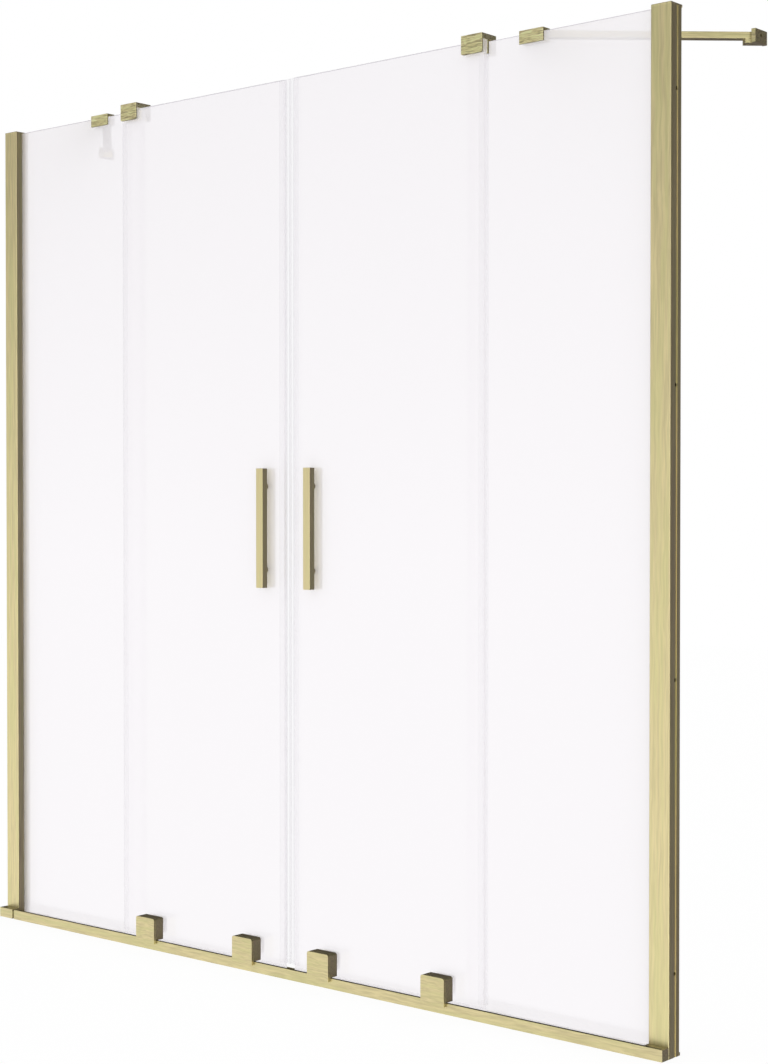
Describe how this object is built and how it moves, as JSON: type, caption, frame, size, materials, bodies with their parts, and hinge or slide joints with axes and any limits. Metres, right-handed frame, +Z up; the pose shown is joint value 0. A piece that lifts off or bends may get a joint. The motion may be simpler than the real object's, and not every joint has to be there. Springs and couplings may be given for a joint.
{
  "type": "sliding bath screen",
  "caption": "Frameless sliding bath screen with two fixed glass panels in wall profiles and two glass doors that part on rollers along a bottom rail, held at the top by guide blocks and wall bars.",
  "frame": {"origin": "centre of the underside of the track, midway between the two walls and midway through the depth of the wall profiles", "axes": "+X to the right along the screen as seen from outside the bath, +Y into the bath, +Z up"},
  "size_m": [1.49, 0.2926, 1.5085],
  "materials": {
    "brushed_gold": "brushed and anodised in a light gold",
    "clear_glass": "clear, polished edges",
    "clear_seal": "clear soft plastic",
    "white_nylon": "smooth nylon",
    "steel": "plain stainless steel"
  },
  "bodies": {
    "frame": {"bottom_track": "brushed_gold", "left_track_end_piece": "brushed_gold", "right_track_end_cap": "brushed_gold", "left_wall_channel": "brushed_gold", "right_wall_channel": "brushed_gold", "left_cover_profile": "brushed_gold", "right_cover_profile": "brushed_gold", "left_top_cap": "brushed_gold", "right_top_cap": "brushed_gold", "left_fixed_glass": "clear_glass", "right_fixed_glass": "clear_glass", "glazing_gaskets": "clear_seal", "setting_blocks": "white_nylon", "profile_lock_screws": "steel", "fixed_edge_seals": "clear_seal", "left_guide_block": "brushed_gold", "right_guide_block": "brushed_gold", "guide_glides": "white_nylon", "left_bar_clip": "brushed_gold", "right_bar_clip": "brushed_gold", "clamp_pads": "clear_seal", "set_screws": "steel", "left_support_bar": "brushed_gold", "right_support_bar": "brushed_gold", "left_wall_flange": "brushed_gold", "right_wall_flange": "brushed_gold"},
    "left_door": {"left_door_glass": "clear_glass", "left_magnetic_seal": "clear_seal", "left_trailing_seal": "clear_seal", "left_drip_seal": "clear_seal", "left_outer_handle": "brushed_gold", "left_inner_handle": "brushed_gold", "left_door_bolts": "steel", "left_carriage_covers": "brushed_gold", "left_carriage_body_outer": "brushed_gold", "left_carriage_body_inner": "brushed_gold", "left_carriage_clamps": "brushed_gold", "left_door_pads": "clear_seal", "left_roller_axles": "steel"},
    "right_door": {"right_door_glass": "clear_glass", "right_magnetic_seal": "clear_seal", "right_trailing_seal": "clear_seal", "right_drip_seal": "clear_seal", "right_outer_handle": "brushed_gold", "right_inner_handle": "brushed_gold", "right_door_bolts": "steel", "right_carriage_covers": "brushed_gold", "right_carriage_body_outer": "brushed_gold", "right_carriage_body_inner": "brushed_gold", "right_carriage_clamps": "brushed_gold", "right_door_pads": "clear_seal", "right_roller_axles": "steel"},
    "left_outer_wheel": {"left_outer_roller": "white_nylon", "left_outer_bearing": "steel"},
    "left_inner_wheel": {"left_inner_roller": "white_nylon", "left_inner_bearing": "steel"},
    "right_inner_wheel": {"right_inner_roller": "white_nylon", "right_inner_bearing": "steel"},
    "right_outer_wheel": {"right_outer_roller": "white_nylon", "right_outer_bearing": "steel"}
  },
  "joints": [
    {"name": "left_door_slide", "type": "slide", "parent": "frame", "child": "left_door", "axis": [-1, 0, 0], "range_m": [0, 0.294]},
    {"name": "right_door_slide", "type": "slide", "parent": "frame", "child": "right_door", "axis": [1, 0, 0], "range_m": [0, 0.294]},
    {"name": "left_outer_spin", "type": "hinge", "parent": "left_door", "child": "left_outer_wheel", "pos_m": [-0.329, -0.0286, 0.0282], "axis": [0, 1, 0], "continuous": true},
    {"name": "left_inner_spin", "type": "hinge", "parent": "left_door", "child": "left_inner_wheel", "pos_m": [-0.087, -0.0286, 0.0282], "axis": [0, 1, 0], "continuous": true},
    {"name": "right_inner_spin", "type": "hinge", "parent": "right_door", "child": "right_inner_wheel", "pos_m": [0.087, -0.0286, 0.0282], "axis": [0, 1, 0], "continuous": true},
    {"name": "right_outer_spin", "type": "hinge", "parent": "right_door", "child": "right_outer_wheel", "pos_m": [0.329, -0.0286, 0.0282], "axis": [0, 1, 0], "continuous": true}
  ],
  "couplings": [
    {"joint": "left_outer_spin", "follows": "left_door_slide", "rad_per_m": -95.238},
    {"joint": "left_inner_spin", "follows": "left_door_slide", "rad_per_m": -95.238},
    {"joint": "right_inner_spin", "follows": "right_door_slide", "rad_per_m": 95.238},
    {"joint": "right_outer_spin", "follows": "right_door_slide", "rad_per_m": 95.238}
  ]
}
